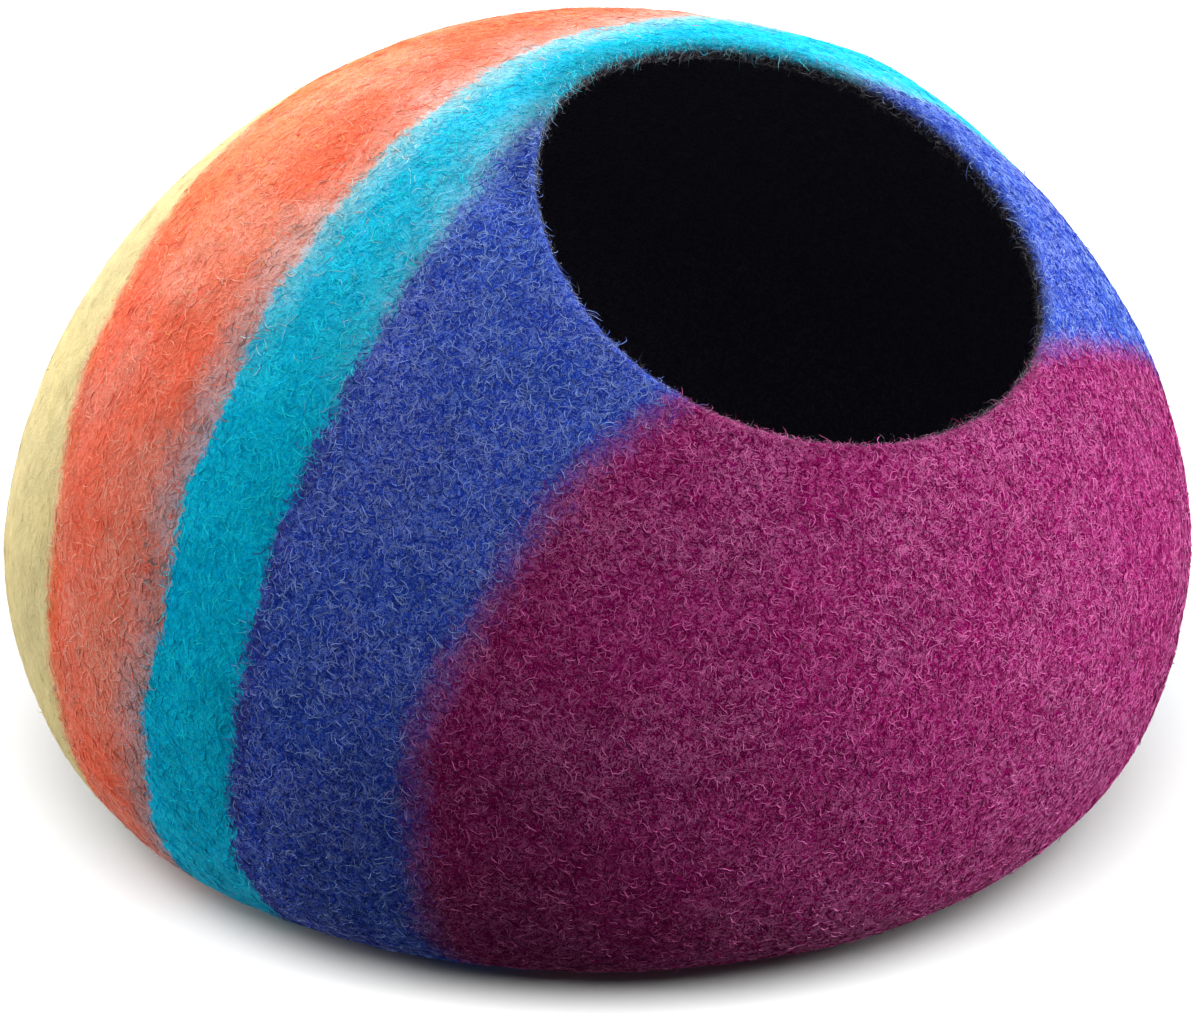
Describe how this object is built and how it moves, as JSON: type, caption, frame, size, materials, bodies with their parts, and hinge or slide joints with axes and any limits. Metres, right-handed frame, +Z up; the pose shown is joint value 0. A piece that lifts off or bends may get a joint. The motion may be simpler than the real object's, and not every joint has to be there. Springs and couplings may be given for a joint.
{
  "type": "felt cat cave",
  "caption": "Round pod bed of thick seamless wool felt with a slanted round opening in its upper front and a flat base.",
  "frame": {"origin": "on the floor under the middle of the bounding box, in the flat base", "axes": "+Z up, the opening faces -Y and up, +X is to the right of a viewer who faces the opening"},
  "size_m": [0.4598, 0.4594, 0.3023],
  "materials": {
    "wool_felt": "dense wet-felted wool in bands of magenta, blue, turquoise, coral and yellow, black inside, with loose curly fibres"
  },
  "bodies": {
    "root": {"felt_shell": "wool_felt"}
  },
  "joints": []
}
